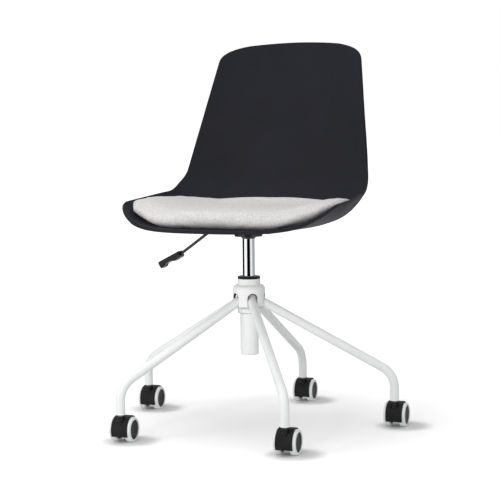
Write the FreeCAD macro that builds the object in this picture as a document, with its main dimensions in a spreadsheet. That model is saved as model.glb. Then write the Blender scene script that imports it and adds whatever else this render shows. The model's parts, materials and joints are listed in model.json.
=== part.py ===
"""Swivel desk chair: moulded bucket shell with a felt pad, gas column, five-leg tube base on twin-wheel casters.

Millimetres, +Z up, origin on the floor under the column. The sitter faces -Y, and the height lever is on -X.
"""
import FreeCAD, Part
import math
import os
import re

import Sketcher
from FreeCAD import Placement, Rotation, Vector

# Driving sizes
SIZES = {
    # five-leg base
    "base_turn": 38.5,            # first leg, degrees from straight ahead towards +X
    "stem_circle_radius": 300.0,  # caster stems from the column
    "leg_diameter": 19.0,
    "leg_wall": 1.5,
    "leg_root_height": 272.0,     # axis in the middle of the core's wall
    "leg_bend_radius": 50.0,
    "leg_knee_height": 113.0,     # where the slope would meet the upright end
    "leg_end_height": 57.0,
    "core_diameter": 48.0,
    "core_bottom": 240.5,
    "core_height": 52.0,
    "cover_bottom": 253.0,
    "cover_diameter": 66.5,
    "cover_height": 46.0,         # to the foot of the neck
    "cover_shoulder_radius": 8.6,
    "cover_neck_diameter": 47.0,
    "cover_wall": 2.6,
    "arch_width": 21.0,
    "arch_height": 29.5,
    # column
    "column_bottom": 152.5,
    "column_top": 311.0,
    "column_diameter": 38.5,
    "column_wall": 2.0,
    "column_floor": 3.0,
    "foot_recess": 12.0,          # floor above the tube's lower edge
    "foot_recess_diameter": 24.0,
    "foot_round": 3.2,
    "bush_flange": 5.5,
    "bush_length": 62.0,
    "running_gap": 0.06,          # radial clearance of turning and sliding fits
    "chrome_diameter": 25.5,
    "chrome_wall": 1.8,
    "chrome_length": 77.7,        # bright length showing as pictured
    "chrome_buried": 80.0,        # length inside the bush and tube as pictured
    "lift_down": 60.0,
    "lift_up": 40.0,
    "chamber_gap": 12.0,          # solid top of the cylinder above the gas chamber
    "rod_diameter": 10.0,
    "rod_end_diameter": 8.0,
    "rod_end_length": 9.0,
    "guide_length": 18.0,
    "piston_height": 10.0,
    "bearing_diameter": 26.0,
    "bearing_height": 5.4,
    "clip_thickness": 1.4,
    "clip_diameter": 16.0,
    # seat plate and lever
    "cup_height": 4.8,
    "cup_low_diameter": 27.5,
    "cup_top_diameter": 33.5,
    "taper_low_diameter": 24.8,
    "taper_top_diameter": 24.2,
    "taper_length": 6.0,
    "drum_diameter": 58.0,
    "drum_height": 13.5,
    "drum_wall": 2.5,
    "plate_thickness": 2.5,
    "plate_disc_diameter": 84.0,
    "plate_window": 30.0,
    "arm_width": 32.0,
    "screw_x": 72.0,              # seat screws from the column, sideways
    "screw_y": 58.0,              # and front to back
    "screw_diameter": 6.0,
    "screw_head_diameter": 12.0,
    "screw_head_height": 3.5,
    "screw_length": 8.0,
    "lever_height": 7.0,          # rod's axis above the drum's underside
    "lever_diameter": 6.4,
    "lever_pivot_offset": 18.0,
    "pivot_diameter": 4.0,
    "lever_knee": 91.0,
    "lever_droop": 35.0,          # degrees
    "lever_knee_radius": 22.0,
    "lever_slant": 104.0,         # sloping length to the end of the rod
    "lever_travel": 6.0,          # degrees
    "handle_length": 57.0,
    "handle_height": 15.0,
    "handle_width": 20.0,
    "handle_overlap": 22.0,       # rod's length inside the handle
    "handle_recess": 4.0,
    "valve_diameter": 5.0,
    "valve_length": 12.0,
    "valve_show": 2.3,            # pin above the cylinder's top
    # bucket shell
    "shell_wall": 6.0,
    "boss_height": 1.6,
    "boss_diameter": 22.0,
    "insert_diameter": 9.0,
    "insert_length": 6.2,
    "seat_front": 201.0,          # front lip ahead of the column
    "pan_run": 270.0,
    "pan_slope": 0.3,             # degrees down to the rear
    "bend_radius": 125.0,
    "lean_low": 15.0,             # back from upright at its foot, degrees
    "lean_top": 8.4,
    "back_run": 296.5,
    "front_round": 107.0,
    "front_power": 1.85,
    "top_round": 50.0,
    "top_power": 2.55,
    "width_seat": 236.0,          # half-widths along the spine
    "width_bend_start": 224.0,
    "width_bend_mid": 217.0,
    "width_bend_end": 208.0,
    "width_back": 187.0,
    "width_top": 159.0,
    "wing_front": 44.0,           # rim's rise above the spine
    "wing_seat": 54.0,
    "wing_bend_start": 63.0,
    "wing_bend_mid": 71.0,
    "wing_bend_end": 61.0,
    "wing_back": 54.0,
    "wing_top": 35.0,
    "flat_front": 4.5,            # power of the section: high is a flat floor with a tight side
    "flat_seat": 5.5,
    "flat_bend_start": 5.2,
    "flat_bend_mid": 3.3,
    "flat_bend_end": 2.6,
    "flat_back": 2.1,
    # pad
    "pad_thickness": 30.0,
    "pad_edge": 11.0,             # edge's own thickness
    "pad_inset": 15.0,            # from the rim, in from the side
    "pad_inset_bend": 24.0,
    "pad_inset_rear": 42.0,
    "pad_front_inset": 19.0,
    "pad_front_round": 95.0,
    "pad_run": 358.0,             # rear edge along the spine
    "pad_rear_round": 60.0,
    "pad_rear_power": 2.6,
    "pad_gap": 0.4,
    # casters
    "caster_turn": 6.0,           # degrees, all trailing alike
    "caster_trail": 17.0,
    "wheel_diameter": 50.0,
    "wheel_width": 13.2,
    "wheel_gap": 19.2,            # between the two wheels
    "wheel_round": 2.5,
    "cap_diameter": 39.5,
    "cap_recess": 1.6,
    "cap_dish": 1.4,
    "wheel_hub_diameter": 13.0,
    "axle_diameter": 6.0,
    "axle_length": 38.0,
    "hood_width": 35.0,
    "hood_gap": 1.4,              # over the tread
    "hood_wall": 2.0,
    "hood_bottom": 13.0,          # front and rear edge above the floor
    "hood_bevel": 1.6,
    "notch_diameter": 17.0,
    "notch_floor": 41.0,
    "boss_post_diameter": 13.0,
    "boss_top": 54.0,
    "web_width": 12.0,
    "stem_diameter": 10.0,
    "stem_above": 24.0,           # stem's length above the leg's end
    "socket_flange": 1.4,
}
LEGS = 5
SIDES = (("left", 1), ("right", -1))

doc = FreeCAD.newDocument("desk_chair")
sheet = doc.addObject("Spreadsheet::Sheet", "Sizes")
for row, (alias, value) in enumerate(SIZES.items(), start=1):
    sheet.set("A%d" % row, alias)
    sheet.set("B%d" % row, str(value))
    sheet.setAlias("B%d" % row, alias)
working = doc.addObject("Spreadsheet::Sheet", "Working")
doc.recompute()

size = {alias: float(sheet.get(alias)) for alias in SIZES}
pieces = []


def bound(formula):
    """A formula of size names as an expression that document objects understand."""
    return re.sub(r"[a-z_]+", lambda word: "Sizes." + word[0] if word[0] in SIZES else word[0], str(formula))


def number(formula):
    """The value that a formula of size names has now, worked out on a sheet that nothing else reads."""
    working.set("A1", "=" + bound(formula))
    working.recompute()
    return float(working.get("A1"))


def keep(piece, label, placement=None):
    """Name a finished piece, put it in its place and list it for export."""
    piece.Label = label
    if placement is not None:
        for letter in "xyz":
            piece.setExpression(".Placement.Base." + letter, None)
        piece.Placement = placement
    pieces.append(piece)
    return piece


def origin_feature(body, role):
    return next(f for f in body.Origin.OriginFeatures if f.Role == role)


def outline_sketch(body, role, corners):
    """Closed outline on an origin plane; the two coordinates of every corner are formulas."""
    sketch = body.newObject("Sketcher::SketchObject", "Outline")
    sketch.AttachmentSupport = (origin_feature(body, role), [""])
    sketch.MapMode = "FlatFace"
    points = [Vector(number(u), number(v), 0) for u, v in corners]
    count = len(points)
    for i in range(count):
        sketch.addGeometry(Part.LineSegment(points[i], points[(i + 1) % count]))
    for i in range(count):
        sketch.addConstraint(Sketcher.Constraint("Coincident", i, 2, (i + 1) % count, 1))
    for i, (u, v) in enumerate(corners):
        for kind, formula, value in (("DistanceX", u, points[i].x), ("DistanceY", v, points[i].y)):
            index = sketch.addConstraint(Sketcher.Constraint(kind, -1, 1, i, 1, value))
            sketch.setExpression("Constraints[%d]" % index, bound(formula))
    return sketch


def turned(name, corners):
    """Body revolved about Z from an outline of (radius, height) formulas."""
    body = doc.addObject("PartDesign::Body", name)
    sketch = outline_sketch(body, "XZ_Plane", corners)
    spin = body.newObject("PartDesign::Revolution", "Turn")
    spin.Profile = sketch
    spin.ReferenceAxis = (sketch, ["V_Axis"])
    spin.Angle = 360
    doc.recompute()
    return body


def padded(name, role, corners, width):
    """Body extruded both ways from an outline on an origin plane."""
    body = doc.addObject("PartDesign::Body", name)
    sketch = outline_sketch(body, role, corners)
    pad = body.newObject("PartDesign::Pad", "Thickness")
    pad.Profile = sketch
    pad.Midplane = True
    pad.setExpression("Length", bound(width))
    doc.recompute()
    return body


def rounded(body, name, radius, wanted):
    """Fillet the edges of a body's tip whose middle satisfies wanted(point, edge)."""
    tip = body.Tip
    edges = []
    for i, edge in enumerate(tip.Shape.Edges, start=1):
        middle = edge.valueAt((edge.FirstParameter + edge.LastParameter) / 2)
        if wanted(middle, edge):
            edges.append("Edge%d" % i)
    fillet = body.newObject("PartDesign::Fillet", name)
    fillet.Base = (tip, edges)
    fillet.setExpression("Radius", bound(radius))
    doc.recompute()
    return fillet


def tube_sketches(body, corners, bend_radius, diameters):
    """Path in the XZ plane through three corners with one tangent bend, and the round section at its first end."""
    start, knee, finish = (Vector(number(u), number(v), 0) for u, v in corners)
    into, out = (knee - start).normalize(), (finish - knee).normalize()
    turn = into.getAngle(out)
    reach = number(bend_radius) * math.tan(turn / 2)
    first, last = knee - into * reach, knee + out * reach
    inward = (out - into).normalize()
    middle = knee + inward * (number(bend_radius) / math.cos(turn / 2) - number(bend_radius))
    path = body.newObject("Sketcher::SketchObject", "Path")
    path.AttachmentSupport = (origin_feature(body, "XZ_Plane"), [""])
    path.MapMode = "FlatFace"
    path.addGeometry(Part.LineSegment(start, first))
    path.addGeometry(Part.Arc(first, middle, last))
    path.addGeometry(Part.LineSegment(last, finish))
    return path, start, into


def pipe(name, corners, bend_radius, diameters):
    """Bent round bar or tube in the XZ plane."""
    body = doc.addObject("PartDesign::Body", name)
    path, start, into = tube_sketches(body, corners, bend_radius, diameters)
    section = body.newObject("Sketcher::SketchObject", "Section")
    section.AttachmentSupport = (origin_feature(body, "XY_Plane"), [""])
    section.MapMode = "FlatFace"
    direction = Vector(into.x, 0, into.y)
    section.AttachmentOffset = Placement(Vector(start.x, 0, start.y), Rotation(Vector(0, 0, 1), direction))
    for formula in diameters:
        index = section.addGeometry(Part.Circle(Vector(0, 0, 0), Vector(0, 0, 1), number(formula) / 2))
        section.addConstraint(Sketcher.Constraint("Coincident", index, 3, -1, 1))
        rule = section.addConstraint(Sketcher.Constraint("Diameter", index, number(formula)))
        section.setExpression("Constraints[%d]" % rule, bound(formula))
    doc.recompute()
    sweep = body.newObject("PartDesign::AdditivePipe", "Sweep")
    sweep.Profile = section
    sweep.Spine = (path, ["Edge1", "Edge2", "Edge3"])
    doc.recompute()
    return body


def cylinder(name, radius, height, base=(0, 0, 0), axis=(0, 0, 1)):
    """Part cylinder from a base point of formulas along an axis."""
    solid = doc.addObject("Part::Cylinder", name)
    solid.setExpression("Radius", bound(radius))
    solid.setExpression("Height", bound(height))
    solid.Placement = Placement(Vector(*(number(c) for c in base)), Rotation(Vector(0, 0, 1), Vector(*axis)))
    for letter, formula in zip("xyz", base):
        solid.setExpression(".Placement.Base." + letter, bound(formula))
    return solid


def box(name, lengths, corner, turn=0.0):
    """Part box from its low corner, then turned about Z round the origin."""
    solid = doc.addObject("Part::Box", name)
    for side, formula in zip(("Length", "Width", "Height"), lengths):
        solid.setExpression(side, bound(formula))
    about_z = Placement(Vector(), Rotation(Vector(0, 0, 1), turn))
    solid.Placement = about_z * Placement(Vector(*(number(c) for c in corner)), Rotation())
    return solid


def joined(name, solids):
    fuse = doc.addObject("Part::MultiFuse", name)
    fuse.Shapes = solids
    fuse.Refine = True
    doc.recompute()
    return fuse


def cut(name, base, tools):
    """Base less one tool, or less the union of several."""
    result = doc.addObject("Part::Cut", name)
    result.Base = base
    result.Tool = tools[0] if len(tools) == 1 else joined(name + "_tools", tools)
    doc.recompute()
    return result


def common(name, solids):
    result = doc.addObject("Part::MultiCommon", name)
    result.Shapes = solids
    doc.recompute()
    return result


def group(name, solids):
    """Separate solids that share one node."""
    compound = doc.addObject("Part::Compound", name)
    compound.Links = solids
    doc.recompute()
    return compound


def about_z(degrees):
    return Placement(Vector(), Rotation(Vector(0, 0, 1), degrees))


# Heights up the column, each from the one below
BUSH_TOP = "(column_top + bush_flange)"
CUP_BOTTOM = "(%s + chrome_length)" % BUSH_TOP
DRUM_BOTTOM = "(%s + cup_height)" % CUP_BOTTOM
PLATE_BOTTOM = "(%s + drum_height)" % DRUM_BOTTOM
PLATE_TOP = "(%s + plate_thickness)" % PLATE_BOTTOM
LEVER_AXIS = "(%s + lever_height)" % DRUM_BOTTOM
CYLINDER_TOP = "(%s + taper_length)" % CUP_BOTTOM
CYLINDER_BOTTOM = "(%s - chrome_buried)" % BUSH_TOP
FLOOR_BOTTOM = "(column_bottom + foot_recess)"
FLOOR_TOP = "(%s + column_floor)" % FLOOR_BOTTOM
BEARING_TOP = "(%s + running_gap + bearing_height)" % FLOOR_TOP
ROD_BOTTOM = "(%s - rod_end_length)" % FLOOR_BOTTOM
CLIP_TOP = "(%s - running_gap)" % FLOOR_BOTTOM
LEG_ANGLES = [number("base_turn") - 90 + 360 / LEGS * k for k in range(LEGS)]


# Five-leg base

def make_leg(index):
    """Bent tube from the welded core out, down the slope and upright into the caster's socket."""
    corners = [("stem_circle_radius", "leg_end_height"), ("stem_circle_radius", "leg_knee_height"),
               ("core_diameter / 4", "leg_root_height")]
    bar = pipe("LegBar%d" % index, corners, "leg_bend_radius", ["leg_diameter", "leg_diameter - 2 * leg_wall"])
    core = cylinder("LegEnd%d" % index, "core_diameter / 2", "core_height * 3", (0, 0, "core_bottom - core_height"))
    leg = cut("Leg%d" % index, bar, [core])
    return keep(leg, "leg_%d" % index, about_z(LEG_ANGLES[index - 1]))


def make_hub():
    """Welded core ring, and the bell-shaped cover with an arch over each leg."""
    inner, outer = "column_diameter / 2", "core_diameter / 2"
    top = "core_bottom + core_height"
    keep(turned("HubCore", [(inner, "core_bottom"), (outer, "core_bottom"), (outer, top), (inner, top)]), "hub_core")

    body, neck, wall = "cover_diameter / 2", "cover_neck_diameter / 2", "cover_wall"
    crown = "(cover_bottom + cover_height)"
    inside = "(cover_diameter / 2 - cover_shoulder_radius)"
    cover = turned("HubCover", [
        (body, "cover_bottom"), (body, crown), (neck, crown), (neck, "column_top"),
        (neck + " - " + wall, "column_top"), (neck + " - " + wall, crown + " - " + wall),
        (inside, crown + " - " + wall), (body + " - " + wall, crown + " - cover_shoulder_radius"),
        (body + " - " + wall, "cover_bottom")])
    rounded(cover, "Shoulder", "cover_shoulder_radius",
            lambda p, e: abs(p.z - number(crown)) < 0.01 and math.hypot(p.x, p.y) > number(body) - 0.01)

    arch = cover.newObject("Sketcher::SketchObject", "Arch")
    arch.AttachmentSupport = (origin_feature(cover, "YZ_Plane"), [""])
    arch.MapMode = "FlatFace"
    half, spring = number("arch_width / 2"), number("cover_bottom + arch_height - arch_width / 2")
    low = number("cover_bottom - cover_wall")
    corners = [Vector(half, spring, 0), Vector(half, low, 0), Vector(-half, low, 0), Vector(-half, spring, 0)]
    for a, b in zip(corners, corners[1:]):
        arch.addGeometry(Part.LineSegment(a, b))
    arch.addGeometry(Part.Arc(corners[-1], Vector(0, spring + half, 0), corners[0]))
    pocket = cover.newObject("PartDesign::Pocket", "ArchCut")
    pocket.Profile = arch
    pocket.setExpression("Length", bound("cover_diameter"))
    pocket.Reversed = True
    doc.recompute()
    pattern = cover.newObject("PartDesign::PolarPattern", "Arches")
    pattern.Originals = [pocket]
    pattern.Axis = (origin_feature(cover, "Z_Axis"), [""])
    pattern.Angle = 360
    pattern.Occurrences = LEGS
    cover.Tip = pattern
    doc.recompute()
    keep(cover, "hub_cover", about_z(LEG_ANGLES[0]))


def make_stem_sockets():
    """Nylon plugs in the leg ends, bored for the caster stems."""
    plugs = []
    for k, angle in enumerate(LEG_ANGLES):
        at = about_z(angle).multVec(Vector(number("stem_circle_radius"), 0, 0))
        end = number("leg_end_height")
        body = cylinder("Plug%d" % k, "leg_diameter / 2 - leg_wall", "stem_above + 2", (at.x, at.y, end))
        rim = cylinder("PlugRim%d" % k, "leg_diameter / 2", "socket_flange", (at.x, at.y, "leg_end_height - socket_flange"))
        bore = cylinder("PlugBore%d" % k, "stem_diameter / 2 + running_gap", "stem_above + socket_flange + 1",
                        (at.x, at.y, "leg_end_height - socket_flange"))
        plugs.append(cut("StemPlug%d" % k, joined("PlugBody%d" % k, [body, rim]), [bore]))
    keep(group("StemSockets", plugs), "stem_sockets")


# Gas column

def make_column():
    """Outer tube with its floor set up in the foot, and the guide bush that carries the bright cylinder."""
    outer, inner = "column_diameter / 2", "column_diameter / 2 - column_wall"
    hole, recess = "rod_end_diameter / 2 + running_gap", "foot_recess_diameter / 2"
    tube = turned("ColumnTube", [
        (hole, FLOOR_BOTTOM), (recess, FLOOR_BOTTOM), (recess, "column_bottom"), (outer, "column_bottom"),
        (outer, "column_top"), (inner, "column_top"), (inner, FLOOR_TOP), (hole, FLOOR_TOP)])
    rounded(tube, "FootRound", "foot_round",
            lambda p, e: abs(p.z - number("column_bottom")) < 0.01 and math.hypot(p.x, p.y) > number(inner))
    keep(tube, "column_tube")

    bore = "chrome_diameter / 2 + running_gap"
    flange, foot = "cover_neck_diameter / 2", "column_top - bush_length + bush_flange"
    bush = turned("GuideBush", [
        (bore, foot), (inner, foot), (inner, "column_top"), (flange, "column_top"),
        (flange, BUSH_TOP), (bore, BUSH_TOP)])
    rounded(bush, "FlangeRound", "bush_flange * 0.35", lambda p, e: math.hypot(p.x, p.y) > number(flange) - 0.01)
    keep(bush, "guide_bush")


def make_gas_spring():
    """Bright cylinder with its tapered head, rod guide, piston on its rod, thrust bearing and retaining clip."""
    outer, chamber = "chrome_diameter / 2", "chrome_diameter / 2 - chrome_wall"
    pin = "valve_diameter / 2 + running_gap"
    pin_floor = "(%s - chamber_gap)" % CYLINDER_TOP
    chamber_top = "(%s - chrome_wall)" % pin_floor
    cylinder_body = turned("GasCylinder", [
        (outer, CYLINDER_BOTTOM), (outer, CUP_BOTTOM), ("taper_low_diameter / 2", CUP_BOTTOM),
        ("taper_top_diameter / 2", CYLINDER_TOP), (pin, CYLINDER_TOP), (pin, pin_floor),
        ("0", pin_floor), ("0", chamber_top), (chamber, chamber_top), (chamber, CYLINDER_BOTTOM)])
    keep(cylinder_body, "gas_cylinder")

    guide_bore = "rod_diameter / 2 + running_gap"
    guide_top = CYLINDER_BOTTOM + " + guide_length"
    keep(turned("RodGuide", [(guide_bore, CYLINDER_BOTTOM), (chamber, CYLINDER_BOTTOM), (chamber, guide_top),
                             (guide_bore, guide_top)]), "rod_guide")

    end, shaft = "rod_end_diameter / 2", "rod_diameter / 2"
    groove_top, groove_low = CLIP_TOP, "(%s - clip_thickness)" % CLIP_TOP
    groove = "rod_end_diameter / 2 - 1"
    piston_low = "(%s + guide_length + lift_up + chrome_wall)" % CYLINDER_BOTTOM
    rod = turned("Rod", [
        ("0", ROD_BOTTOM), (end, ROD_BOTTOM), (end, groove_low), (groove, groove_low), (groove, groove_top),
        (end, groove_top), (end, BEARING_TOP), (shaft, BEARING_TOP), (shaft, piston_low), ("0", piston_low)])
    piston = cylinder("Piston", chamber + " - running_gap", "piston_height", (0, 0, piston_low))
    keep(group("PistonRod", [rod, piston]), "piston_rod")

    race = "bearing_height / 3"
    low = FLOOR_TOP + " + running_gap"
    rings = []
    for k, inset in enumerate(("0", "2", "0")):
        ring = cylinder("Race%d" % k, "bearing_diameter / 2 - " + inset, race, (0, 0, "%s + %d * %s" % (low, k, race)))
        hole = cylinder("RaceBore%d" % k, end, race, (0, 0, "%s + %d * %s" % (low, k, race)))
        rings.append(cut("BearingRing%d" % k, ring, [hole]))
    keep(group("ThrustBearing", rings), "thrust_bearing")

    plate = cylinder("ClipPlate", "clip_diameter / 2", "clip_thickness", (0, 0, groove_low))
    bore = cylinder("ClipBore", groove, "clip_thickness", (0, 0, groove_low))
    mouth = box("ClipMouth", ("clip_diameter", "rod_end_diameter - 2", "clip_thickness"),
                ("0", "1 - rod_end_diameter / 2", groove_low))
    keep(cut("RodClip", plate, [bore, mouth]), "rod_clip")

    keep(cylinder("ValvePin", "valve_diameter / 2", "valve_length",
                  (0, 0, CYLINDER_TOP + " + valve_show - valve_length")), "valve_pin")
    doc.recompute()


# Seat plate and lever

def screw_places():
    return [(sx, sy) for sx in (-1, 1) for sy in (-1, 1)]


def make_seat_plate():
    """Pressed plate with four arms, the drum that houses the lever's end, and the tapered cup on the column."""
    disc = cylinder("PlateDisc", "plate_disc_diameter / 2", "plate_thickness", (0, 0, PLATE_BOTTOM))
    drum = cylinder("Drum", "drum_diameter / 2", "drum_height", (0, 0, DRUM_BOTTOM))
    solids = [disc, drum]
    reach = math.hypot(number("screw_x"), number("screw_y"))
    for k, (sx, sy) in enumerate(screw_places()):
        turn = math.degrees(math.atan2(sy * number("screw_y"), sx * number("screw_x")))
        solids.append(box("Arm%d" % k, (str(reach), "arm_width", "plate_thickness"),
                          ("0", "-arm_width / 2", PLATE_BOTTOM), turn))
        solids.append(cylinder("ArmEnd%d" % k, "arm_width / 2", "plate_thickness",
                               ("%d * screw_x" % sx, "%d * screw_y" % sy, PLATE_BOTTOM)))
    spider = joined("Spider", solids)
    drum_inside = "drum_diameter / 2 - drum_wall"
    slot = "(lever_diameter + 2.5)"
    tools = [
        cylinder("DrumHollow", drum_inside, "drum_height - drum_wall", (0, 0, DRUM_BOTTOM + " + drum_wall")),
        cylinder("CupHole", "cup_top_diameter / 2", "drum_wall", (0, 0, DRUM_BOTTOM)),
        cylinder("Window", "plate_window / 2", "plate_thickness", (0, 0, PLATE_BOTTOM)),
        box("LeverSlot", ("drum_diameter / 2", slot, slot + " + 1"),
            ("-drum_diameter / 2 - 1", "-%s / 2" % slot, "%s - %s / 2" % (LEVER_AXIS, slot))),
        cylinder("PivotHole", "pivot_diameter / 2", "drum_diameter",
                 ("-lever_pivot_offset", "drum_diameter / 2", LEVER_AXIS), (0, -1, 0))]
    for k, (sx, sy) in enumerate(screw_places()):
        tools.append(cylinder("ScrewHole%d" % k, "screw_diameter / 2 + 0.3", "plate_thickness",
                              ("%d * screw_x" % sx, "%d * screw_y" % sy, PLATE_BOTTOM)))
    keep(cut("SeatPlate", spider, tools), "seat_plate")

    keep(turned("TaperCup", [
        ("taper_low_diameter / 2", CUP_BOTTOM), ("cup_low_diameter / 2", CUP_BOTTOM),
        ("cup_top_diameter / 2", DRUM_BOTTOM), ("cup_top_diameter / 2", DRUM_BOTTOM + " + drum_wall"),
        ("taper_top_diameter / 2", DRUM_BOTTOM + " + drum_wall"),
        ("taper_top_diameter / 2", CYLINDER_TOP)]), "taper_cup")

    chord = 2 * math.sqrt((number("drum_diameter") / 2) ** 2 - number("lever_pivot_offset") ** 2)
    keep(cylinder("LeverPivot", "pivot_diameter / 2", str(chord),
                  ("-lever_pivot_offset", str(chord / 2), LEVER_AXIS), (0, -1, 0)), "lever_pivot")

    screws, inserts = [], []
    for k, (sx, sy) in enumerate(screw_places()):
        x, y = "%d * screw_x" % sx, "%d * screw_y" % sy
        head = cylinder("Head%d" % k, "screw_head_diameter / 2", "screw_head_height",
                        (x, y, PLATE_BOTTOM + " - screw_head_height"))
        shank = cylinder("Shank%d" % k, "screw_diameter / 2", "screw_length", (x, y, PLATE_BOTTOM))
        socket = cylinder("Key%d" % k, "screw_diameter / 4", "screw_head_height * 0.6",
                          (x, y, PLATE_BOTTOM + " - screw_head_height"))
        screws.append(cut("Screw%d" % k, joined("ScrewBlank%d" % k, [head, shank]), [socket]))
        sleeve = cylinder("Sleeve%d" % k, "insert_diameter / 2", "insert_length", (x, y, PLATE_TOP))
        bore = cylinder("SleeveBore%d" % k, "screw_diameter / 2", "insert_length", (x, y, PLATE_TOP))
        inserts.append(cut("Insert%d" % k, sleeve, [bore]))
    keep(group("SeatScrews", screws), "seat_screws")
    keep(group("ShellInserts", inserts), "shell_inserts")


def make_lever():
    """Bent rod that presses the valve pin when its handle is lifted, and the moulded handle."""
    droop_x, droop_z = "cos(lever_droop)", "sin(lever_droop)"
    tip = ("valve_diameter / 2", LEVER_AXIS)
    knee = ("-lever_knee", LEVER_AXIS)
    end = ("-lever_knee - lever_slant * %s" % droop_x, "%s - lever_slant * %s" % (LEVER_AXIS, droop_z))
    bar = pipe("LeverBar", [tip, knee, end], "lever_knee_radius", ["lever_diameter"])
    eye = cylinder("LeverEye", "pivot_diameter / 2 + running_gap", "lever_diameter * 2",
                   ("-lever_pivot_offset", "lever_diameter", LEVER_AXIS), (0, -1, 0))
    keep(cut("LeverRod", bar, [eye]), "lever_rod")

    top, low, far = "-handle_height / 2", "handle_height / 2", "handle_length"
    grip = padded("LeverHandle", "XZ_Plane", [
        ("0", top + " * 0.85"), (far + " * 0.96", top), (far, top + " * 0.5"), (far + " * 0.98", low),
        (far + " * 0.84", low), (far + " * 0.74", low + " - handle_recess"),
        (far + " * 0.46", low + " - handle_recess"), (far + " * 0.36", low), (far + " * 0.06", low + " * 0.9"),
        ("0", low + " * 0.7")], "handle_width")
    rounded(grip, "GripRound", "handle_height * 0.13",
            lambda p, e: abs(abs(p.y) - number("handle_width / 2")) < 0.01)
    bore = cylinder("HandleBore", "lever_diameter / 2", "handle_overlap", (0, 0, 0), (1, 0, 0))
    handle = cut("Handle", grip, [bore])
    start = number("lever_slant - handle_overlap")
    droop = math.radians(number("lever_droop"))
    at = Vector(-number("lever_knee") - start * math.cos(droop), 0, number(LEVER_AXIS) - start * math.sin(droop))
    keep(handle, "lever_handle", Placement(at, Rotation(Vector(0, 1, 0), 180 - number("lever_droop"))))


# Bucket shell and pad

PAN_SLOPE = math.radians(size["pan_slope"])
LEAN_LOW, LEAN_TOP = math.radians(size["lean_low"]), math.radians(size["lean_top"])
BEND_END_ANGLE = math.pi / 2 - LEAN_LOW
BEND_END = size["pan_run"] + size["bend_radius"] * (PAN_SLOPE + BEND_END_ANGLE)
SPINE_END = BEND_END + size["back_run"]
PAN_HEIGHT = number(PLATE_TOP) + size["boss_height"] + size["shell_wall"]


def spine(run):
    """Point, tangent angle and curvature of the shell's upper centreline: level pan, round bend, leaning back."""
    y0, z0 = -size["seat_front"], PAN_HEIGHT + (size["seat_front"] + size["screw_y"]) * math.sin(PAN_SLOPE)
    straight = min(run, size["pan_run"])
    y, z, angle = y0 + straight * math.cos(PAN_SLOPE), z0 - straight * math.sin(PAN_SLOPE), -PAN_SLOPE
    curvature = 0.0
    back_curve = (LEAN_LOW - LEAN_TOP) / size["back_run"]
    for begin, finish, bend in ((size["pan_run"], BEND_END, 1 / size["bend_radius"]), (BEND_END, 1e9, back_curve)):
        if run > begin:
            turned_by = (min(run, finish) - begin) * bend
            y += (math.sin(angle + turned_by) - math.sin(angle)) / bend
            z -= (math.cos(angle + turned_by) - math.cos(angle)) / bend
            angle += turned_by
            curvature = bend
    return y, z, angle, curvature


def eased(stations, run):
    """Smooth value between stations (run, value) that never overshoots them."""
    runs, values = zip(*stations)
    steps = [(values[i + 1] - values[i]) / (runs[i + 1] - runs[i]) for i in range(len(runs) - 1)]
    slopes = [0.0] * len(runs)
    for i in range(1, len(runs) - 1):
        if steps[i - 1] * steps[i] > 0:
            slopes[i] = 2 * steps[i - 1] * steps[i] / (steps[i - 1] + steps[i])
    slopes[-1] = steps[-1]
    i = max(0, min(len(runs) - 2, sum(1 for r in runs[1:-1] if run >= r)))
    gap = runs[i + 1] - runs[i]
    t = (run - runs[i]) / gap
    rise, fall = t * t * (3 - 2 * t), 1 - t * t * (3 - 2 * t)
    return (fall * values[i] + rise * values[i + 1] + gap * t * (1 - t) ** 2 * slopes[i]
            - gap * t * t * (1 - t) * slopes[i + 1])


STATIONS = (0.0, size["pan_run"] * 0.6, size["pan_run"], (size["pan_run"] + BEND_END) / 2, BEND_END,
            BEND_END + size["back_run"] * 0.45, SPINE_END)


def along(names):
    return list(zip(STATIONS, (size[name] for name in names)))


WIDTHS = along(("width_seat", "width_seat", "width_bend_start", "width_bend_mid", "width_bend_end", "width_back",
                "width_top"))
WINGS = along(("wing_front", "wing_seat", "wing_bend_start", "wing_bend_mid", "wing_bend_end", "wing_back",
               "wing_top"))
FLATS = along(("flat_front", "flat_seat", "flat_bend_start", "flat_bend_mid", "flat_bend_end", "flat_back",
               "flat_back"))
INSETS = along(("pad_inset", "pad_inset", "pad_inset_bend", "pad_inset_rear"))


def rise(x, run):
    """Height of the shell's upper face above the spine, square to it."""
    return eased(WINGS, run) * abs(x / eased(WIDTHS, run)) ** eased(FLATS, run)


def half_width(run):
    """Half-width of the rim's outline, rounded off at the front lip and at the top."""
    width = eased(WIDTHS, run)
    front, top = 1 - run / size["front_round"], 1 - (SPINE_END - run) / size["top_round"]
    if front > 0:
        width *= max(0.0, 1 - front ** size["front_power"]) ** (1 / size["front_power"])
    if top > 0:
        width *= max(0.0, 1 - top ** size["top_power"]) ** (1 / size["top_power"])
    return width


def shell_point(x, run, depth=0.0):
    """Point of the upper face, or of a face that lies depth below it."""
    y, z, angle, curvature = spine(run)
    height = rise(x, run)
    tangent, normal = Vector(0, math.cos(angle), math.sin(angle)), Vector(0, -math.sin(angle), math.cos(angle))
    point = Vector(x, y, z) + normal * height
    if depth:
        step = 0.5
        across = (rise(x + step, run) - rise(x - step, run)) / (2 * step)
        ahead = (rise(x, run + step) - rise(x, run - step)) / (2 * step)
        square = normal - Vector(across, 0, 0) - tangent * (ahead / (1 - height * curvature))
        point -= square.normalize() * depth
    return point


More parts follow.
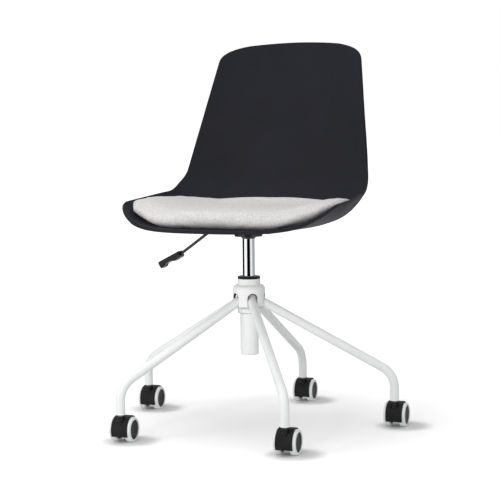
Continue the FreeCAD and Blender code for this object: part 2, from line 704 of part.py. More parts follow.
def shell_grid(depth, rows=29, columns=19):
    """Rows of points from the front lip to the top; the first and last row follow the rim's own curve."""
    front_run = size["front_round"] * 0.23
    top_run = SPINE_END - size["top_round"] * 0.15
    grid = []
    for i in range(rows):
        t = (1 - math.cos(math.pi * i / (rows - 1))) / 2
        middle, edge = SPINE_END * t, front_run + (top_run - front_run) * t
        width = half_width(edge)
        line = []
        for j in range(columns):
            v = math.sin(math.pi * (j / (columns - 1) - 0.5))
            line.append(shell_point(width * v, middle + (edge - middle) * v * v, depth))
        grid.append(line)
    return grid


def skin(grid):
    surface = Part.BSplineSurface()
    surface.interpolate(grid)
    return surface


def make_shell():
    """Moulded bucket: two smooth skins a wall apart joined round the rim, with a boss over each seat screw."""
    upper, lower = skin(shell_grid(0.0)), skin(shell_grid(size["shell_wall"]))
    faces = [upper.toShape(), lower.toShape()]
    u0, u1, v0, v1 = upper.bounds()
    for rim_u in (u0, u1):
        faces.append(Part.makeRuledSurface(upper.uIso(rim_u).toShape(), lower.uIso(rim_u).toShape()))
    for rim_v in (v0, v1):
        faces.append(Part.makeRuledSurface(upper.vIso(rim_v).toShape(), lower.vIso(rim_v).toShape()))
    walls = Part.Shell(faces)
    walls.sewShape()
    bucket = Part.Solid(walls)
    if bucket.Volume < 0:
        bucket.reverse()
    seat = number(PLATE_TOP)
    bosses, bores = [], []
    for sx, sy in screw_places():
        x, y = sx * size["screw_x"], sy * size["screw_y"]
        height = size["boss_height"] + size["shell_wall"] / 2
        bosses.append(Part.makeCylinder(size["boss_diameter"] / 2, height, Vector(x, y, seat)))
        bores.append(Part.makeCylinder(size["insert_diameter"] / 2, size["insert_length"], Vector(x, y, seat)))
    shell = doc.addObject("Part::Feature", "Shell")
    shell.Shape = bucket.fuse(bosses).cut(bores)
    keep(shell, "bucket_shell", Placement())


def pad_half_width(run):
    """Half-width of the pad's outline, rounded off at its front and rear."""
    width = eased(WIDTHS, run) - eased(INSETS, run)
    front = 1 - (run - size["pad_front_inset"]) / size["pad_front_round"]
    rear = 1 - (size["pad_run"] - run) / size["pad_rear_round"]
    if front > 0:
        width *= (1 - front ** size["front_power"]) ** (1 / size["front_power"])
    if rear > 0:
        width *= (1 - rear ** size["pad_rear_power"]) ** (1 / size["pad_rear_power"])
    return width


def pad_section(run, fullness):
    """Closed section square to the spine: flat in the middle, turned up with the bucket, round at both sides."""
    y, z, angle, _ = spine(run)
    normal = Vector(0, -math.sin(angle), math.cos(angle))

    def at(x, height):
        return Vector(x, y, z) + normal * height

    gap, edge = size["pad_gap"], size["pad_edge"] * fullness
    lift = size["pad_thickness"] * (1 - fullness) / 2
    top = size["pad_thickness"] * (1 + fullness) / 2
    width = pad_half_width(run)
    flat, side = width * 0.4, width - edge * 0.35
    middle = (flat + side) / 2
    under = [rise(x, run) + gap * 2 + lift for x in (flat, middle, (side + width) / 2)]
    under[1] = max(under[1] + gap, under[0] + (under[2] - under[0]) * 0.25)
    over = [top, top + (under[2] + edge - top) * 0.25, under[2] + edge]

    def half(sign):
        """Underside, round side and upper side from the middle out and back."""
        floor = Part.Arc(at(sign * flat, under[0]), at(sign * middle, under[1]), at(sign * side, under[2]))
        nose = Part.Arc(at(sign * side, under[2]), at(sign * width, (under[2] + over[2]) / 2), at(sign * side, over[2]))
        crown = Part.Arc(at(sign * side, over[2]), at(sign * middle, over[1]), at(sign * flat, over[0]))
        return [floor, nose, crown]

    across_top = Part.LineSegment(at(flat, over[0]), at(-flat, over[0]))
    across_floor = Part.LineSegment(at(-flat, under[0]), at(flat, under[0]))
    edges = [curve.toShape() for curve in (*half(1), across_top, *half(-1), across_floor)]
    return Part.Wire(Part.__sortEdges__(edges))


def make_pad():
    """Felt pad: crowned, dished with the bucket and drawn in to a round edge all the way round."""
    front, rear, nose = size["pad_front_inset"], size["pad_run"], size["pad_thickness"] / 2
    noses = [math.radians(degrees) for degrees in (20, 45, 70, 90)]
    stations = [(front + nose * (1 - math.cos(a)), math.sin(a)) for a in noses]
    begin, end = front + size["pad_front_round"] * 0.33, rear - size["pad_rear_round"] * 0.7
    stations += [(begin + (end - begin) * i / 8, 1.0) for i in range(9)]
    stations += [(rear - nose * (1 - math.cos(a)), math.sin(a)) for a in reversed(noses)]
    pad = doc.addObject("Part::Feature", "Pad")
    sections = [pad_section(run, fullness) for run, fullness in stations]
    pad.Shape = Part.makeLoft(sections, True, True)
    keep(pad, "seat_pad", Placement())


# Casters

def make_caster(index):
    """Hooded housing that turns on its stem, an axle, and two wheels with soft treads."""
    angle = LEG_ANGLES[index - 1]
    at = about_z(angle).multVec(Vector(number("stem_circle_radius"), 0, 0))
    place = Placement(at, Rotation(Vector(0, 0, 1), number("caster_turn")))
    name = "caster_%d" % index
    tag = "C%d" % index
    radius, trail = "wheel_diameter / 2", "caster_trail"
    inside = "(wheel_diameter / 2 + hood_gap)"
    outside = "(wheel_diameter / 2 + hood_gap + hood_wall)"
    axis = (1, 0, 0)

    def across(part, size_radius, width):
        return cylinder(tag + part, size_radius, width, ("-(%s) / 2" % width, trail, radius), axis)

    body = doc.addObject("Part::Cylinder", tag + "HoodBlank")
    body.setExpression("Radius", bound(outside))
    body.setExpression("Height", bound("hood_width"))
    body.Placement = Placement(Vector(-number("hood_width") / 2, number(trail), number(radius)),
                               Rotation(Vector(0, 0, 1), Vector(*axis)))
    doc.recompute()
    bevel = doc.addObject("Part::Chamfer", tag + "HoodBevel")
    bevel.Base = body
    rims = [i for i, e in enumerate(body.Shape.Edges, start=1) if isinstance(e.Curve, Part.Circle)]
    bevel.Edges = [(i, number("hood_bevel"), number("hood_bevel")) for i in rims]
    hollow = across("HoodHollow", inside, "hood_width + 2")
    ground = box(tag + "HoodGround", ("hood_width * 2", outside + " * 2 + 2", "hood_bottom + wheel_diameter"),
                 ("-hood_width", "%s - %s - 1" % (trail, outside), "-wheel_diameter"))
    notch = cylinder(tag + "Notch", "notch_diameter / 2", "wheel_diameter", (0, 0, "notch_floor"))
    hood = cut(tag + "Hood", bevel, [hollow, ground, notch])

    post = cylinder(tag + "Post", "boss_post_diameter / 2", "boss_top - hood_bottom - 4", (0, 0, "hood_bottom + 4"))
    hub = across("AxleBoss", "wheel_hub_diameter / 2 + 1.5", "wheel_gap - 1.2")
    web_disc = across("WebDisc", inside + " + hood_wall / 2", "web_width")
    web_ground = box(tag + "WebGround", ("hood_width * 2", outside + " * 3", "hood_bottom + 4 + wheel_diameter"),
                     ("-hood_width", "%s - %s * 1.5" % (trail, outside), "-wheel_diameter"))
    web_notch = cylinder(tag + "WebNotch", "notch_diameter / 2", "wheel_diameter", (0, 0, "notch_floor"))
    web = cut(tag + "Web", web_disc, [web_ground, web_notch])
    frame = joined(tag + "Frame", [hood, web, hub, post])
    axle_bore = across("AxleBore", "axle_diameter / 2", "axle_length")
    stem_bore = cylinder(tag + "StemBore", "stem_diameter / 2", "boss_top - hood_bottom", (0, 0, "hood_bottom + 12"))
    keep(cut(tag + "Housing", frame, [axle_bore, stem_bore]), name + "_housing", place)

    keep(cylinder(tag + "Stem", "stem_diameter / 2", "leg_end_height + stem_above - hood_bottom - 12",
                  (0, 0, "hood_bottom + 12")), name + "_stem",
         place * Placement(Vector(0, 0, number("hood_bottom + 12")), Rotation()))
    axle = across("Axle", "axle_diameter / 2", "axle_length")
    keep(axle, name + "_axle", place * axle.Placement)

    near, far = "wheel_gap / 2", "(wheel_gap / 2 + wheel_width)"
    cap, hole = "cap_diameter / 2", "(axle_diameter / 2 + running_gap)"
    core_near = "(wheel_gap / 2 + 1)"
    face = "(wheel_gap / 2 + wheel_width - cap_recess)"
    bottom = "(axle_length / 2 + 0.4)"
    for side, sign in SIDES:
        spot = place * Placement(Vector(0, number(trail), number(radius)), Rotation(Vector(0, 0, 1), Vector(sign, 0, 0)))
        tread = turned(tag + side + "Tread", [(cap, near), (radius, near), (radius, far), (cap, far)])
        rounded(tread, "TreadRound", "wheel_round",
                lambda p, e: abs(math.hypot(p.x, p.y) - number(radius)) < 0.01 and isinstance(e.Curve, Part.Circle))
        keep(tread, "%s_%s_tread" % (name, side), spot)
        hub_radius, rim_inner = "wheel_hub_diameter / 2", "(cap_diameter / 2 - 2.5)"
        floor = "(%s - cap_dish - 2.5)" % face
        core = turned(tag + side + "Core", [
            (hole, core_near), (hub_radius, core_near), (hub_radius, floor), (rim_inner, floor),
            (rim_inner, core_near), (cap, core_near), (cap, face), ("0", face + " - cap_dish"), ("0", bottom),
            (hole, bottom)])
        keep(core, "%s_%s_core" % (name, side), spot)


make_hub()
for leg_number in range(1, LEGS + 1):
    make_leg(leg_number)
make_stem_sockets()
make_column()
make_gas_spring()
make_seat_plate()
make_lever()
make_shell()
make_pad()
for caster_number in range(1, LEGS + 1):
    make_caster(caster_number)
doc.recompute()

# Nothing is written unless every object is sound
for item in doc.Objects:
    if "Invalid" in item.State or "Error" in item.State:
        raise RuntimeError("%s (%s) failed: %s" % (item.Label, item.TypeId, item.State))
for piece in pieces:
    if piece.Shape.isNull() or not piece.Shape.isValid() or not piece.Shape.Solids:
        raise RuntimeError("%s has no sound solid" % piece.Label)

os.makedirs("parts", exist_ok=True)
for piece in pieces:
    piece.Shape.exportStep("parts/%s.step" % piece.Label)
print(len(pieces), "pieces,", sum(len(piece.Shape.Solids) for piece in pieces), "solids")
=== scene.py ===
# %% [markdown]
# A swivel desk chair, dressed for its portrait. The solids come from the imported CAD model, which is
# the fixed frame: everything made here is in metres, in the same frame, and rides on one of its
# bodies. +Z is up, the sitter faces -Y.

# %% Load the frame
import json
import math

import bpy
from mathutils import Matrix, Vector


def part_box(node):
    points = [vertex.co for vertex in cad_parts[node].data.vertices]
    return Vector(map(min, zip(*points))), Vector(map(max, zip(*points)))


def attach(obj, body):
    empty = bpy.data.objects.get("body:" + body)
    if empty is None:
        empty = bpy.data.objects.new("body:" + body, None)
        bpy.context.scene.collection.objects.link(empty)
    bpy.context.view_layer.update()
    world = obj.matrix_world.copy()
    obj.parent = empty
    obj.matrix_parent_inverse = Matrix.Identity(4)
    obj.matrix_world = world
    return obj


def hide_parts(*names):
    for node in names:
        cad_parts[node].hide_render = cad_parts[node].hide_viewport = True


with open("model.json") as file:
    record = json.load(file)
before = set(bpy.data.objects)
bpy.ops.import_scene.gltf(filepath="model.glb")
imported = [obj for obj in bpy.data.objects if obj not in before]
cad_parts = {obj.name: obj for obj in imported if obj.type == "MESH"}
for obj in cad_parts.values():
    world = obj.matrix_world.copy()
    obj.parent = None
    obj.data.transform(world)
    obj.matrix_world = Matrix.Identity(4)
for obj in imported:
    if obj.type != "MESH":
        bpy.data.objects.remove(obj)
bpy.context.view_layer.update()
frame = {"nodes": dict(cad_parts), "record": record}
nodes = frame["nodes"]
scene = bpy.context.scene
MM = 0.001

# %% [markdown]
# The camera stands where the photographer's did: about three metres away, a little above the seat,
# to the sitter's left. A long lens from that far keeps the near caster from swelling.

# %% Camera
HEADING = math.radians(26.0)      # chair's front, turned away from the camera
CAMERA_AWAY, CAMERA_HEIGHT = 3.1688, 0.6352
PITCH, YAW, ROLL = math.radians(-4.78), math.radians(0.05), math.radians(-0.61)
LENS, SENSOR = 110.5, 36.0        # millimetres

camera_data = bpy.data.cameras.new("portrait_lens")
camera_data.sensor_fit = "HORIZONTAL"
camera_data.sensor_width = SENSOR
camera_data.lens = LENS
camera = bpy.data.objects.new("portrait_camera", camera_data)
scene.collection.objects.link(camera)
scene.camera = camera
turn_to_chair = Matrix.Rotation(HEADING, 4, "Z")
stand = Matrix.Translation((0, -CAMERA_AWAY, CAMERA_HEIGHT))
aim = Matrix.Rotation(-YAW, 4, "Z") @ Matrix.Rotation(math.pi / 2 + PITCH, 4, "X")
aim = aim @ Matrix.Rotation(ROLL, 4, "Z")
camera.matrix_world = turn_to_chair @ stand @ aim
print("camera at", [round(c, 3) for c in camera.matrix_world.translation])

# %% [markdown]
# Every finish is a Principled shader with some grain of its own, because no real surface is one flat
# colour. The helper lays a slow noise under the colour and the roughness and a fine one under the
# normals; object coordinates are the chair's own metres, so the grain has its real size and stays
# put when a part turns.

# %% Finish helper
NOISE_LOW, NOISE_HIGH = 0.3, 0.7      # a noise seldom leaves this span


def new_material(name):
    material = bpy.data.materials.new(name)
    material.use_nodes = True
    tree = material.node_tree
    shader = tree.nodes["Principled BSDF"]
    place = tree.nodes.new("ShaderNodeTexCoord")
    return material, tree, shader, place.outputs["Object"]


def noise_texture(tree, place, scale, detail=3.0, roughness=0.55):
    texture = tree.nodes.new("ShaderNodeTexNoise")
    texture.inputs["Scale"].default_value = scale
    texture.inputs["Detail"].default_value = detail
    texture.inputs["Roughness"].default_value = roughness
    tree.links.new(place, texture.inputs["Vector"])
    return texture.outputs["Fac"]


def blend_colours(tree, factor, dark, light, low=0.35, high=0.65):
    ramp = tree.nodes.new("ShaderNodeValToRGB")
    ramp.color_ramp.elements[0].position = low
    ramp.color_ramp.elements[0].color = (*dark, 1)
    ramp.color_ramp.elements[1].position = high
    ramp.color_ramp.elements[1].color = (*light, 1)
    tree.links.new(factor, ramp.inputs["Fac"])
    return ramp.outputs["Color"]


def spread(tree, factor, low, high):
    remap = tree.nodes.new("ShaderNodeMapRange")
    remap.inputs["From Min"].default_value = NOISE_LOW
    remap.inputs["From Max"].default_value = NOISE_HIGH
    remap.inputs["To Min"].default_value = low
    remap.inputs["To Max"].default_value = high
    tree.links.new(factor, remap.inputs["Value"])
    return remap.outputs["Result"]


def bumped(tree, shader, height, distance, strength=1.0):
    bump = tree.nodes.new("ShaderNodeBump")
    bump.inputs["Distance"].default_value = distance
    bump.inputs["Strength"].default_value = strength
    tree.links.new(height, bump.inputs["Height"])
    tree.links.new(bump.outputs["Normal"], shader.inputs["Normal"])


def grained(name, dark, light, roughness, slow=12.0, grain=900.0, depth=0.00003, specular=0.5,
            metallic=0.0):
    """Paint, plastic or metal: two near shades, a little unevenness in the gloss, a fine grain."""
    material, tree, shader, place = new_material(name)
    clouds = noise_texture(tree, place, slow)
    tree.links.new(blend_colours(tree, clouds, dark, light), shader.inputs["Base Color"])
    tree.links.new(spread(tree, clouds, *roughness), shader.inputs["Roughness"])
    bumped(tree, shader, noise_texture(tree, place, grain, detail=2.0), depth)
    shader.inputs["Specular IOR Level"].default_value = specular
    shader.inputs["Metallic"].default_value = metallic
    return material


# %% [markdown]
# White powder coat has a faint orange peel, the moulded cover and the treads are softer whites, and
# the blacks differ mostly in gloss: enamel on the lever, grained nylon on the casters, a fine
# spark-eroded texture on the shell.

# %% Paint, plastic and metal finishes
WHITE = (0.86, 0.87, 0.87)
PEEL_DEPTH, CHROME_DEPTH = 0.00001, 0.000004
finishes = {
    "white_enamel": grained("white_powder_coat", WHITE, (0.88, 0.89, 0.89), (0.30, 0.38),
                            grain=420.0, depth=PEEL_DEPTH),
    "white_cover": grained("white_moulding", WHITE, (0.88, 0.88, 0.88), (0.38, 0.46),
                           grain=700.0, depth=PEEL_DEPTH),
    "white_tread": grained("white_tread", (0.82, 0.83, 0.84), (0.86, 0.87, 0.88), (0.45, 0.6),
                           slow=60.0, grain=1200.0),
    "black_plastic": grained("black_nylon", (0.013, 0.013, 0.0135), (0.019, 0.019, 0.0195),
                             (0.36, 0.50), slow=70.0, specular=0.10),
    "black_grip": grained("black_grip", (0.010, 0.010, 0.0105), (0.014, 0.014, 0.0145),
                          (0.30, 0.40), slow=70.0, specular=0.22),
    # painted shade: the dark grey that stands for the shade inside the hub
    "inside_shade": grained("hub_inside_painted_shade", (0.035, 0.036, 0.038), (0.045, 0.046, 0.048),
                            (0.6, 0.7), specular=0.1),
    # painted shadow lines: grey for the steps under the cover and the core
    "seam_shade": grained("step_shadow_grey", (0.30, 0.31, 0.32), (0.34, 0.35, 0.36),
                          (0.6, 0.7), specular=0.1),
    "shell_plastic": grained("shell_polypropylene", (0.0225, 0.0230, 0.0282),
                             (0.0245, 0.0250, 0.0306), (0.42, 0.50), grain=1600.0, specular=0.015),
    "black_enamel": grained("black_enamel", (0.010, 0.010, 0.011), (0.013, 0.013, 0.014),
                            (0.22, 0.32), slow=40.0),
    "chrome": grained("bright_chrome", (0.62, 0.63, 0.65), (0.68, 0.69, 0.71), (0.04, 0.08),
                      slow=30.0, grain=600.0, depth=CHROME_DEPTH, metallic=1.0),
    "steel": grained("zinc_plated_steel", (0.42, 0.43, 0.45), (0.55, 0.56, 0.57), (0.25, 0.4),
                     slow=150.0, metallic=1.0),
}

# %% [markdown]
# Felt is pressed wool: no weave, but a mottle of lighter and darker fibres, and a soft halo where
# light grazes it. Two noises give the mottle and the fuzz, and sheen gives the halo.

# %% Felt
FELT_DARK, FELT_LIGHT = (0.46, 0.443, 0.438), (0.82, 0.795, 0.795)
MOTTLE_SCALE, FUZZ_SCALE = 330.0, 900.0
FIBRE_DETAIL, FIBRE_ROUGHNESS = 5.0, 0.75
FUZZ_DEPTH, FUZZ_STRENGTH = 0.0006, 0.8


def make_felt():
    material, tree, shader, place = new_material("pressed_felt")
    mottle = noise_texture(tree, place, MOTTLE_SCALE, FIBRE_DETAIL, FIBRE_ROUGHNESS)
    colour = blend_colours(tree, mottle, FELT_DARK, FELT_LIGHT, NOISE_LOW, NOISE_HIGH)
    tree.links.new(colour, shader.inputs["Base Color"])
    fuzz = noise_texture(tree, place, FUZZ_SCALE, FIBRE_DETAIL, FIBRE_ROUGHNESS)
    bumped(tree, shader, fuzz, FUZZ_DEPTH, FUZZ_STRENGTH)
    shader.inputs["Roughness"].default_value = 0.95
    shader.inputs["Specular IOR Level"].default_value = 0.2
    shader.inputs["Sheen Weight"].default_value = 0.25
    shader.inputs["Sheen Roughness"].default_value = 0.6
    return material


finishes["felt"] = make_felt()
for part in frame["record"]["subparts"]:
    mesh = nodes[part["node"]].data
    mesh.materials.clear()
    mesh.materials.append(finishes[part["material_slot"]])
print("finishes:", sorted(finishes))

# %% [markdown]
# The bucket shell is one moulding that runs from the seat's front lip, round a bend and up the back,
# with its rim turned up at the sides. Such a shell can be sculpted, but it follows a simple rule: a
# spine in the middle plane, and at each point of the spine a half-width, a rise of the rim and a
# power that says how flat the floor stays. Points on that rule make a grid, Solidify gives it the
# wall and Bevel rounds the rim.

# %% Spine of the shell
SEAT_FRONT, PAN_TOP = -201.0 * MM, 424.0 * MM
PAN_RUN, PAN_SLOPE = 270.0 * MM, math.radians(0.3)
BEND_RADIUS = 125.0 * MM
LEAN_LOW, LEAN_TOP = math.radians(15.0), math.radians(8.4)
BACK_RUN = 298.4 * MM
BEND_END = PAN_RUN + BEND_RADIUS * (PAN_SLOPE + math.pi / 2 - LEAN_LOW)
SPINE_END = BEND_END + BACK_RUN
BENDS = (       # begin, end, curvature
    (PAN_RUN, BEND_END, 1 / BEND_RADIUS),
    (BEND_END, math.inf, (LEAN_LOW - LEAN_TOP) / BACK_RUN),
)


def spine(run):
    """Point (y, z) and direction of the centreline, at a run along it from the front lip."""
    straight = min(run, PAN_RUN)
    y = SEAT_FRONT + straight * math.cos(PAN_SLOPE)
    z = PAN_TOP - straight * math.sin(PAN_SLOPE)
    angle = -PAN_SLOPE
    for begin, end, bend in BENDS:
        if run > begin:
            after = angle + (min(run, end) - begin) * bend
            y += (math.sin(after) - math.sin(angle)) / bend
            z -= (math.cos(after) - math.cos(angle)) / bend
            angle = after
    return y, z, angle


# %% Widths, rim and flatness along the spine
STATIONS = (0.0, PAN_RUN * 0.6, PAN_RUN, (PAN_RUN + BEND_END) / 2, BEND_END,
            BEND_END + BACK_RUN * 0.45, SPINE_END)
HALF_WIDTHS = (236, 236, 224, 218.5, 209.3, 187, 159)      # mm
RIM_RISES = (44, 54, 65, 69.5, 62.5, 54, 35)               # mm
FLATNESS = (5.1, 5.7, 5.2, 3.3, 2.6, 2.1, 2.1)             # powers
FRONT_ROUND, FRONT_POWER = 107.0 * MM, 1.85
TOP_ROUND, TOP_POWER = 50.0 * MM, 2.5


def eased(values, run):
    """Smooth value between the stations that never overshoots them."""
    spans = range(len(STATIONS) - 1)
    steps = [(values[i + 1] - values[i]) / (STATIONS[i + 1] - STATIONS[i]) for i in spans]
    slopes = [0.0]
    for before, after in zip(steps, steps[1:]):
        slopes.append(2 * before * after / (before + after) if before * after > 0 else 0.0)
    slopes.append(steps[-1])
    i = sum(1 for station in STATIONS[1:-1] if run >= station)
    gap = STATIONS[i + 1] - STATIONS[i]
    t = (run - STATIONS[i]) / gap
    ease = t * t * (3 - 2 * t)
    pull = gap * t * (1 - t) * ((1 - t) * slopes[i] - t * slopes[i + 1])
    return (1 - ease) * values[i] + ease * values[i + 1] + pull


def rim_half_width(run):
    """Half-width of the rim's outline, rounded at the front lip and at the top."""
    width = eased(HALF_WIDTHS, run) * MM
    into_front = 1 - run / FRONT_ROUND
    into_top = 1 - (SPINE_END - run) / TOP_ROUND
    for share, power in ((into_front, FRONT_POWER), (into_top, TOP_POWER)):
        if share > 0:
            width *= max(0.0, 1 - share ** power) ** (1 / power)
    return width


def shell_rise(x, run):
    """Rise of the upper face above the spine, at a distance from the middle plane."""
    side = abs(x / (eased(HALF_WIDTHS, run) * MM))
    return eased(RIM_RISES, run) * MM * side ** eased(FLATNESS, run)


def shell_point(x, run):
    y, z, angle = spine(run)
    height = shell_rise(x, run)
    return Vector((x, y - math.sin(angle) * height, z + math.cos(angle) * height))


# %% Mesh helpers
SHARP = math.radians(40)


def mesh_object(name, points, faces):
    mesh = bpy.data.meshes.new(name)
    mesh.from_pydata(points, [], faces)
    mesh.update()
    for polygon in mesh.polygons:
        polygon.use_smooth = True
    piece = bpy.data.objects.new(name, mesh)
    scene.collection.objects.link(piece)
    return piece


def grid_faces(rows, columns):
    return [(i * columns + j, i * columns + j + 1, (i + 1) * columns + j + 1, (i + 1) * columns + j)
            for i in range(rows - 1) for j in range(columns - 1)]


def ring_faces(this, after, sides):
    """Faces between two closed rings, given the number of each one's first point."""
    turns = [(k, (k + 1) % sides) for k in range(sides)]
    return [(this + k, this + beside, after + beside, after + k) for k, beside in turns]


def tube_faces(rings, sides):
    """Faces of a row of rings, with a cap at both ends."""
    faces = []
    for i in range(rings - 1):
        faces += ring_faces(i * sides, (i + 1) * sides, sides)
    last = (rings - 1) * sides
    return faces + [tuple(reversed(range(sides))), tuple(range(last, last + sides))]


def dress(piece, finish, body, *stands_for):
    """Give a piece its finish and its body, and let it stand for CAD nodes."""
    piece.data.materials.append(finishes[finish])
    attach(piece, body)
    if stands_for:
        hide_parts(*stands_for)
    return piece


# %% Bucket shell
SHELL_ROWS, SHELL_COLUMNS = 81, 57
FRONT_EDGE, TOP_EDGE = FRONT_ROUND * 0.23, SPINE_END - TOP_ROUND * 0.15      # where the sides end
WALL, LIP_WALL = 6.0 * MM, 6.9 * MM
LIP_BACK = -150.0 * MM
RIM_ROUND, RIM_SEGMENTS, RIM_ANGLE = 2.4 * MM, 4, math.radians(50)


def shell_grid():
    """Rows from the front lip to the top. The end rows follow the rim, so no corner is pinched."""
    points = []
    for i in range(SHELL_ROWS):
        t = (1 - math.cos(math.pi * i / (SHELL_ROWS - 1))) / 2
        middle = SPINE_END * t
        edge = FRONT_EDGE + (TOP_EDGE - FRONT_EDGE) * t
        width = rim_half_width(edge)
        for j in range(SHELL_COLUMNS):
            v = math.sin(math.pi * (j / (SHELL_COLUMNS - 1) - 0.5))
            points.append(shell_point(width * v, middle + (edge - middle) * v * v))
    return points


shell = mesh_object("bucket_shell_moulding", shell_grid(), grid_faces(SHELL_ROWS, SHELL_COLUMNS))
thicker_lip = shell.vertex_groups.new(name="thicker_lip")
for vertex in shell.data.vertices:
    share = WALL / LIP_WALL if vertex.co.y > LIP_BACK else 1.0
    thicker_lip.add([vertex.index], share, "REPLACE")
wall = shell.modifiers.new("wall", "SOLIDIFY")
wall.thickness = LIP_WALL
wall.vertex_group = "thicker_lip"
wall.offset = -1.0
wall.use_even_offset = True
rim = shell.modifiers.new("rim", "BEVEL")
rim.width = RIM_ROUND
rim.segments = RIM_SEGMENTS
rim.limit_method = "ANGLE"
rim.angle_limit = RIM_ANGLE
dress(shell, "shell_plastic", "seat", "bucket_shell")
print("shell:", len(shell.data.vertices), "points")

# %% [markdown]
# Under the pan, four round bosses are moulded on for the screws of the seat plate. Each one is
# turned from a short profile round its screw's axis, open in the middle for the threaded insert.

# %% Bosses under the pan
BOSS_FOOT = 415.0 * MM
BOSS_PLACES = ((-72, -58), (72, -58), (-72, 58), (72, 58))      # mm
BOSS_PROFILE = (       # radius and height, mm
    (4.55, 5.4), (4.55, 0.0), (10.2, 0.0), (10.8, 0.3), (11.0, 0.9), (11.2, 5.4),
)


def turned(name, profile, centre, sides=48):
    """Closed turned skin: rings of a profile round an upright axis, the last joined to the first."""
    points = [Vector(centre) + Vector((r * MM * math.cos(a), r * MM * math.sin(a), h * MM))
              for r, h in profile for a in (2 * math.pi * k / sides for k in range(sides))]
    faces = []
    for i in range(len(profile)):
        after = (i + 1) % len(profile)
        faces += ring_faces(i * sides, after * sides, sides)
    piece = mesh_object(name, points, faces)
    piece.data.set_sharp_from_angle(angle=SHARP)
    return piece


for number, (x, y) in enumerate(BOSS_PLACES, 1):
    boss = turned("shell_boss_%d" % number, BOSS_PROFILE, (x * MM, y * MM, BOSS_FOOT))
    dress(boss, "shell_plastic", "seat")
print("bosses:", len(BOSS_PLACES), "with their foot at", BOSS_FOOT)

# %% [markdown]
# The pad is a slab of foam in felt that lies in the bucket. Its CAD solid has the outline and the
# crown; Cloth with a little pressure rounds the edges and evens the skin as stuffing does. The swell
# is capped, and no point may sink into the shell.

# %% Seat pad
PAD_VOXEL = 5.0 * MM
PAD_PRESSURE, PAD_FRAMES = 4.0, 20
PAD_SWELL = 4.0 * MM


def copy_of_node(name, node):
    piece = bpy.data.objects.new(name, nodes[node].data.copy())
    piece.data.materials.clear()
    scene.collection.objects.link(piece)
    return piece


def applied(piece):
    """Fix a piece's modifiers into its mesh."""
    graph = bpy.context.evaluated_depsgraph_get()
    mesh = bpy.data.meshes.new_from_object(piece.evaluated_get(graph))
    piece.modifiers.clear()
    old, piece.data = piece.data, mesh
    bpy.data.meshes.remove(old)


def stuffed(piece):
    """Let pressure swell a closed mesh a little, and never further than the cap."""
    start = [v.co.copy() for v in piece.data.vertices]
    cloth = piece.modifiers.new("stuffing", "CLOTH")
    cloth.settings.use_pressure = True
    cloth.settings.uniform_pressure_force = PAD_PRESSURE
    cloth.settings.effector_weights.gravity = 0.0
    for step in range(1, PAD_FRAMES + 1):
        scene.frame_set(step)
    applied(piece)
    for vertex, rest in zip(piece.data.vertices, start):
        moved = vertex.co - rest
        if moved.length > PAD_SWELL:
            vertex.co = rest + moved.normalized() * PAD_SWELL
    scene.frame_set(1)


# %% Fill of the pad
PAD_FILL, PAD_SIDE_FILL = 4.5 * MM, 9.0 * MM      # make up for what softening draws in
PAD_NOSE_LIFT = 3.0 * MM
NOSE_TIP, NOSE_END = -190 * MM, -90 * MM
SIDE_BEGIN, SIDE_END = 120 * MM, 215 * MM
SIDE_OUT, SIDE_UP = 0.4, 0.9                      # direction of the side fill
SIDE_SHARE_AT_NOSE = 0.35
PAD_CLEARANCE = 0.6 * MM


def eased_step(value, low, high):
    t = min(1.0, max(0.0, (value - low) / (high - low)))
    return t * t * (3 - 2 * t)


def filled_out(piece):
    """Push the skin out, more at the sides, and lift the nose clear of the shell's lip."""
    normals = [v.normal.copy() for v in piece.data.vertices]
    for vertex, normal in zip(piece.data.vertices, normals):
        point = vertex.co
        behind_nose = eased_step(point.y, NOSE_TIP, NOSE_END)
        side_share = SIDE_SHARE_AT_NOSE + (1 - SIDE_SHARE_AT_NOSE) * behind_nose
        at_side = eased_step(abs(point.x), SIDE_BEGIN, SIDE_END) * side_share
        outward = Vector((math.copysign(SIDE_OUT, point.x), 0, SIDE_UP)) * PAD_SIDE_FILL * at_side
        nose = Vector((0, 0, PAD_NOSE_LIFT)) * (1 - behind_nose)
        vertex.co = point + normal * PAD_FILL * behind_nose + outward + nose


def kept_off_shell(piece):
    """Lift any point that lies in the shell until it clears the upper face."""
    pan_y, pan_z, _ = spine(PAN_RUN)
    centre = Vector((0, pan_y, pan_z + BEND_RADIUS))
    lifted = 0
    for vertex in piece.data.vertices:
        point = vertex.co
        if point.y <= pan_y:
            run = point.y - SEAT_FRONT
            height = point.z - spine(run)[1]
            up = Vector((0, 0, 1))
        else:
            arm = Vector((0, point.y, point.z)) - centre
            run = PAN_RUN + BEND_RADIUS * math.atan2(arm.y, -arm.z)
            height = BEND_RADIUS - arm.length
            up = -arm.normalized()
        need = shell_rise(point.x, max(0.0, run)) + PAD_CLEARANCE - height
        if need > 0:
            vertex.co = point + up * need
            lifted += 1
    print("pad:", lifted, "points lifted off the shell")


# %% Make the pad
SOFTENING = 7

pad = copy_of_node("felt_seat_pad", "seat_pad")
remesh = pad.modifiers.new("even_skin", "REMESH")
remesh.mode = "VOXEL"
remesh.voxel_size = PAD_VOXEL
applied(pad)
stuffed(pad)
filled_out(pad)
smooth = pad.modifiers.new("soften", "SMOOTH")
smooth.iterations = SOFTENING
subdivide = pad.modifiers.new("fine_skin", "SUBSURF")
subdivide.levels = 1
subdivide.render_levels = 1
applied(pad)
kept_off_shell(pad)
for polygon in pad.data.polygons:
    polygon.use_smooth = True
dress(pad, "felt", "seat", "seat_pad")
print("pad:", len(pad.data.vertices), "points")

# %% [markdown]
# The five legs are drawn tubes with one bend each. A ring of points carried along the path gives
# them an even skin, which long painted tubes need: the eye follows the highlight down each one.

# %% Paths and tubes


